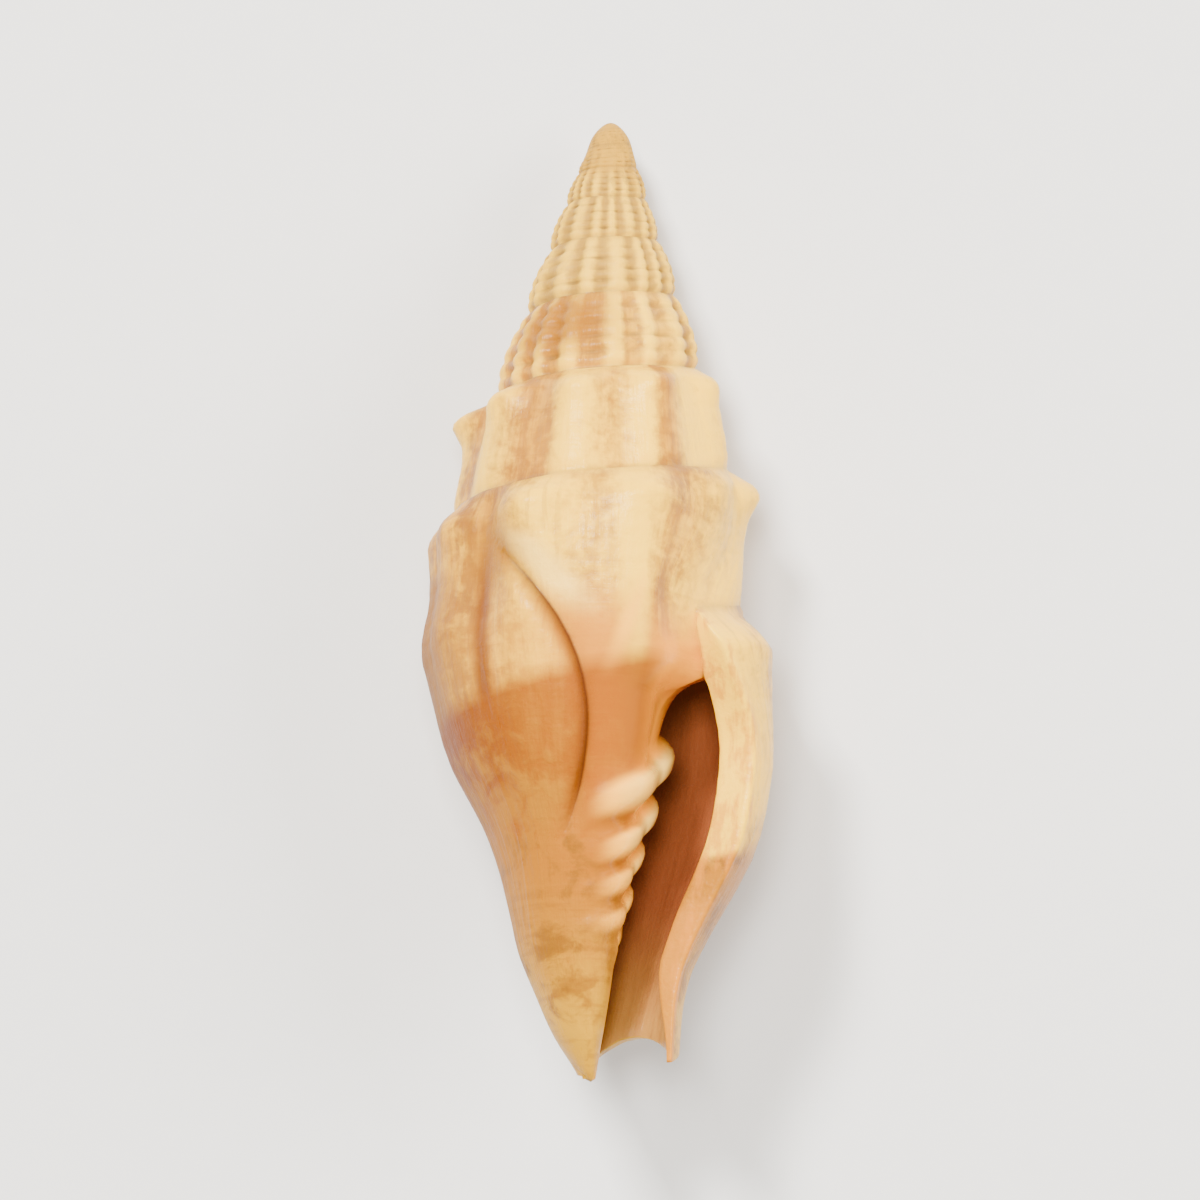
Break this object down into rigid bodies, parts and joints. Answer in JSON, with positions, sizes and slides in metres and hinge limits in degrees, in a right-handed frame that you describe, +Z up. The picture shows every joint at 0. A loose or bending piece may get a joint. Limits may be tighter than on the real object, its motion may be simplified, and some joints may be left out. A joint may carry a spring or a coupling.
{
  "type": "mitre shell",
  "caption": "Spindle-shaped sea snail shell with a ribbed, knobbed spire and a long toothed aperture, lying on its back.",
  "frame": {"origin": "centre of the shell's outline seen from above, on the surface it lies on", "axes": "+Y along the shell towards the apex, +Z up, +X to the side of the outer lip"},
  "size_m": [0.0108, 0.0294, 0.0104],
  "materials": {
    "shell": "glossy natural shell, cream and tan with an orange-brown band and a dark brown inside"
  },
  "bodies": {
    "root": {"shell": "shell"}
  },
  "joints": []
}
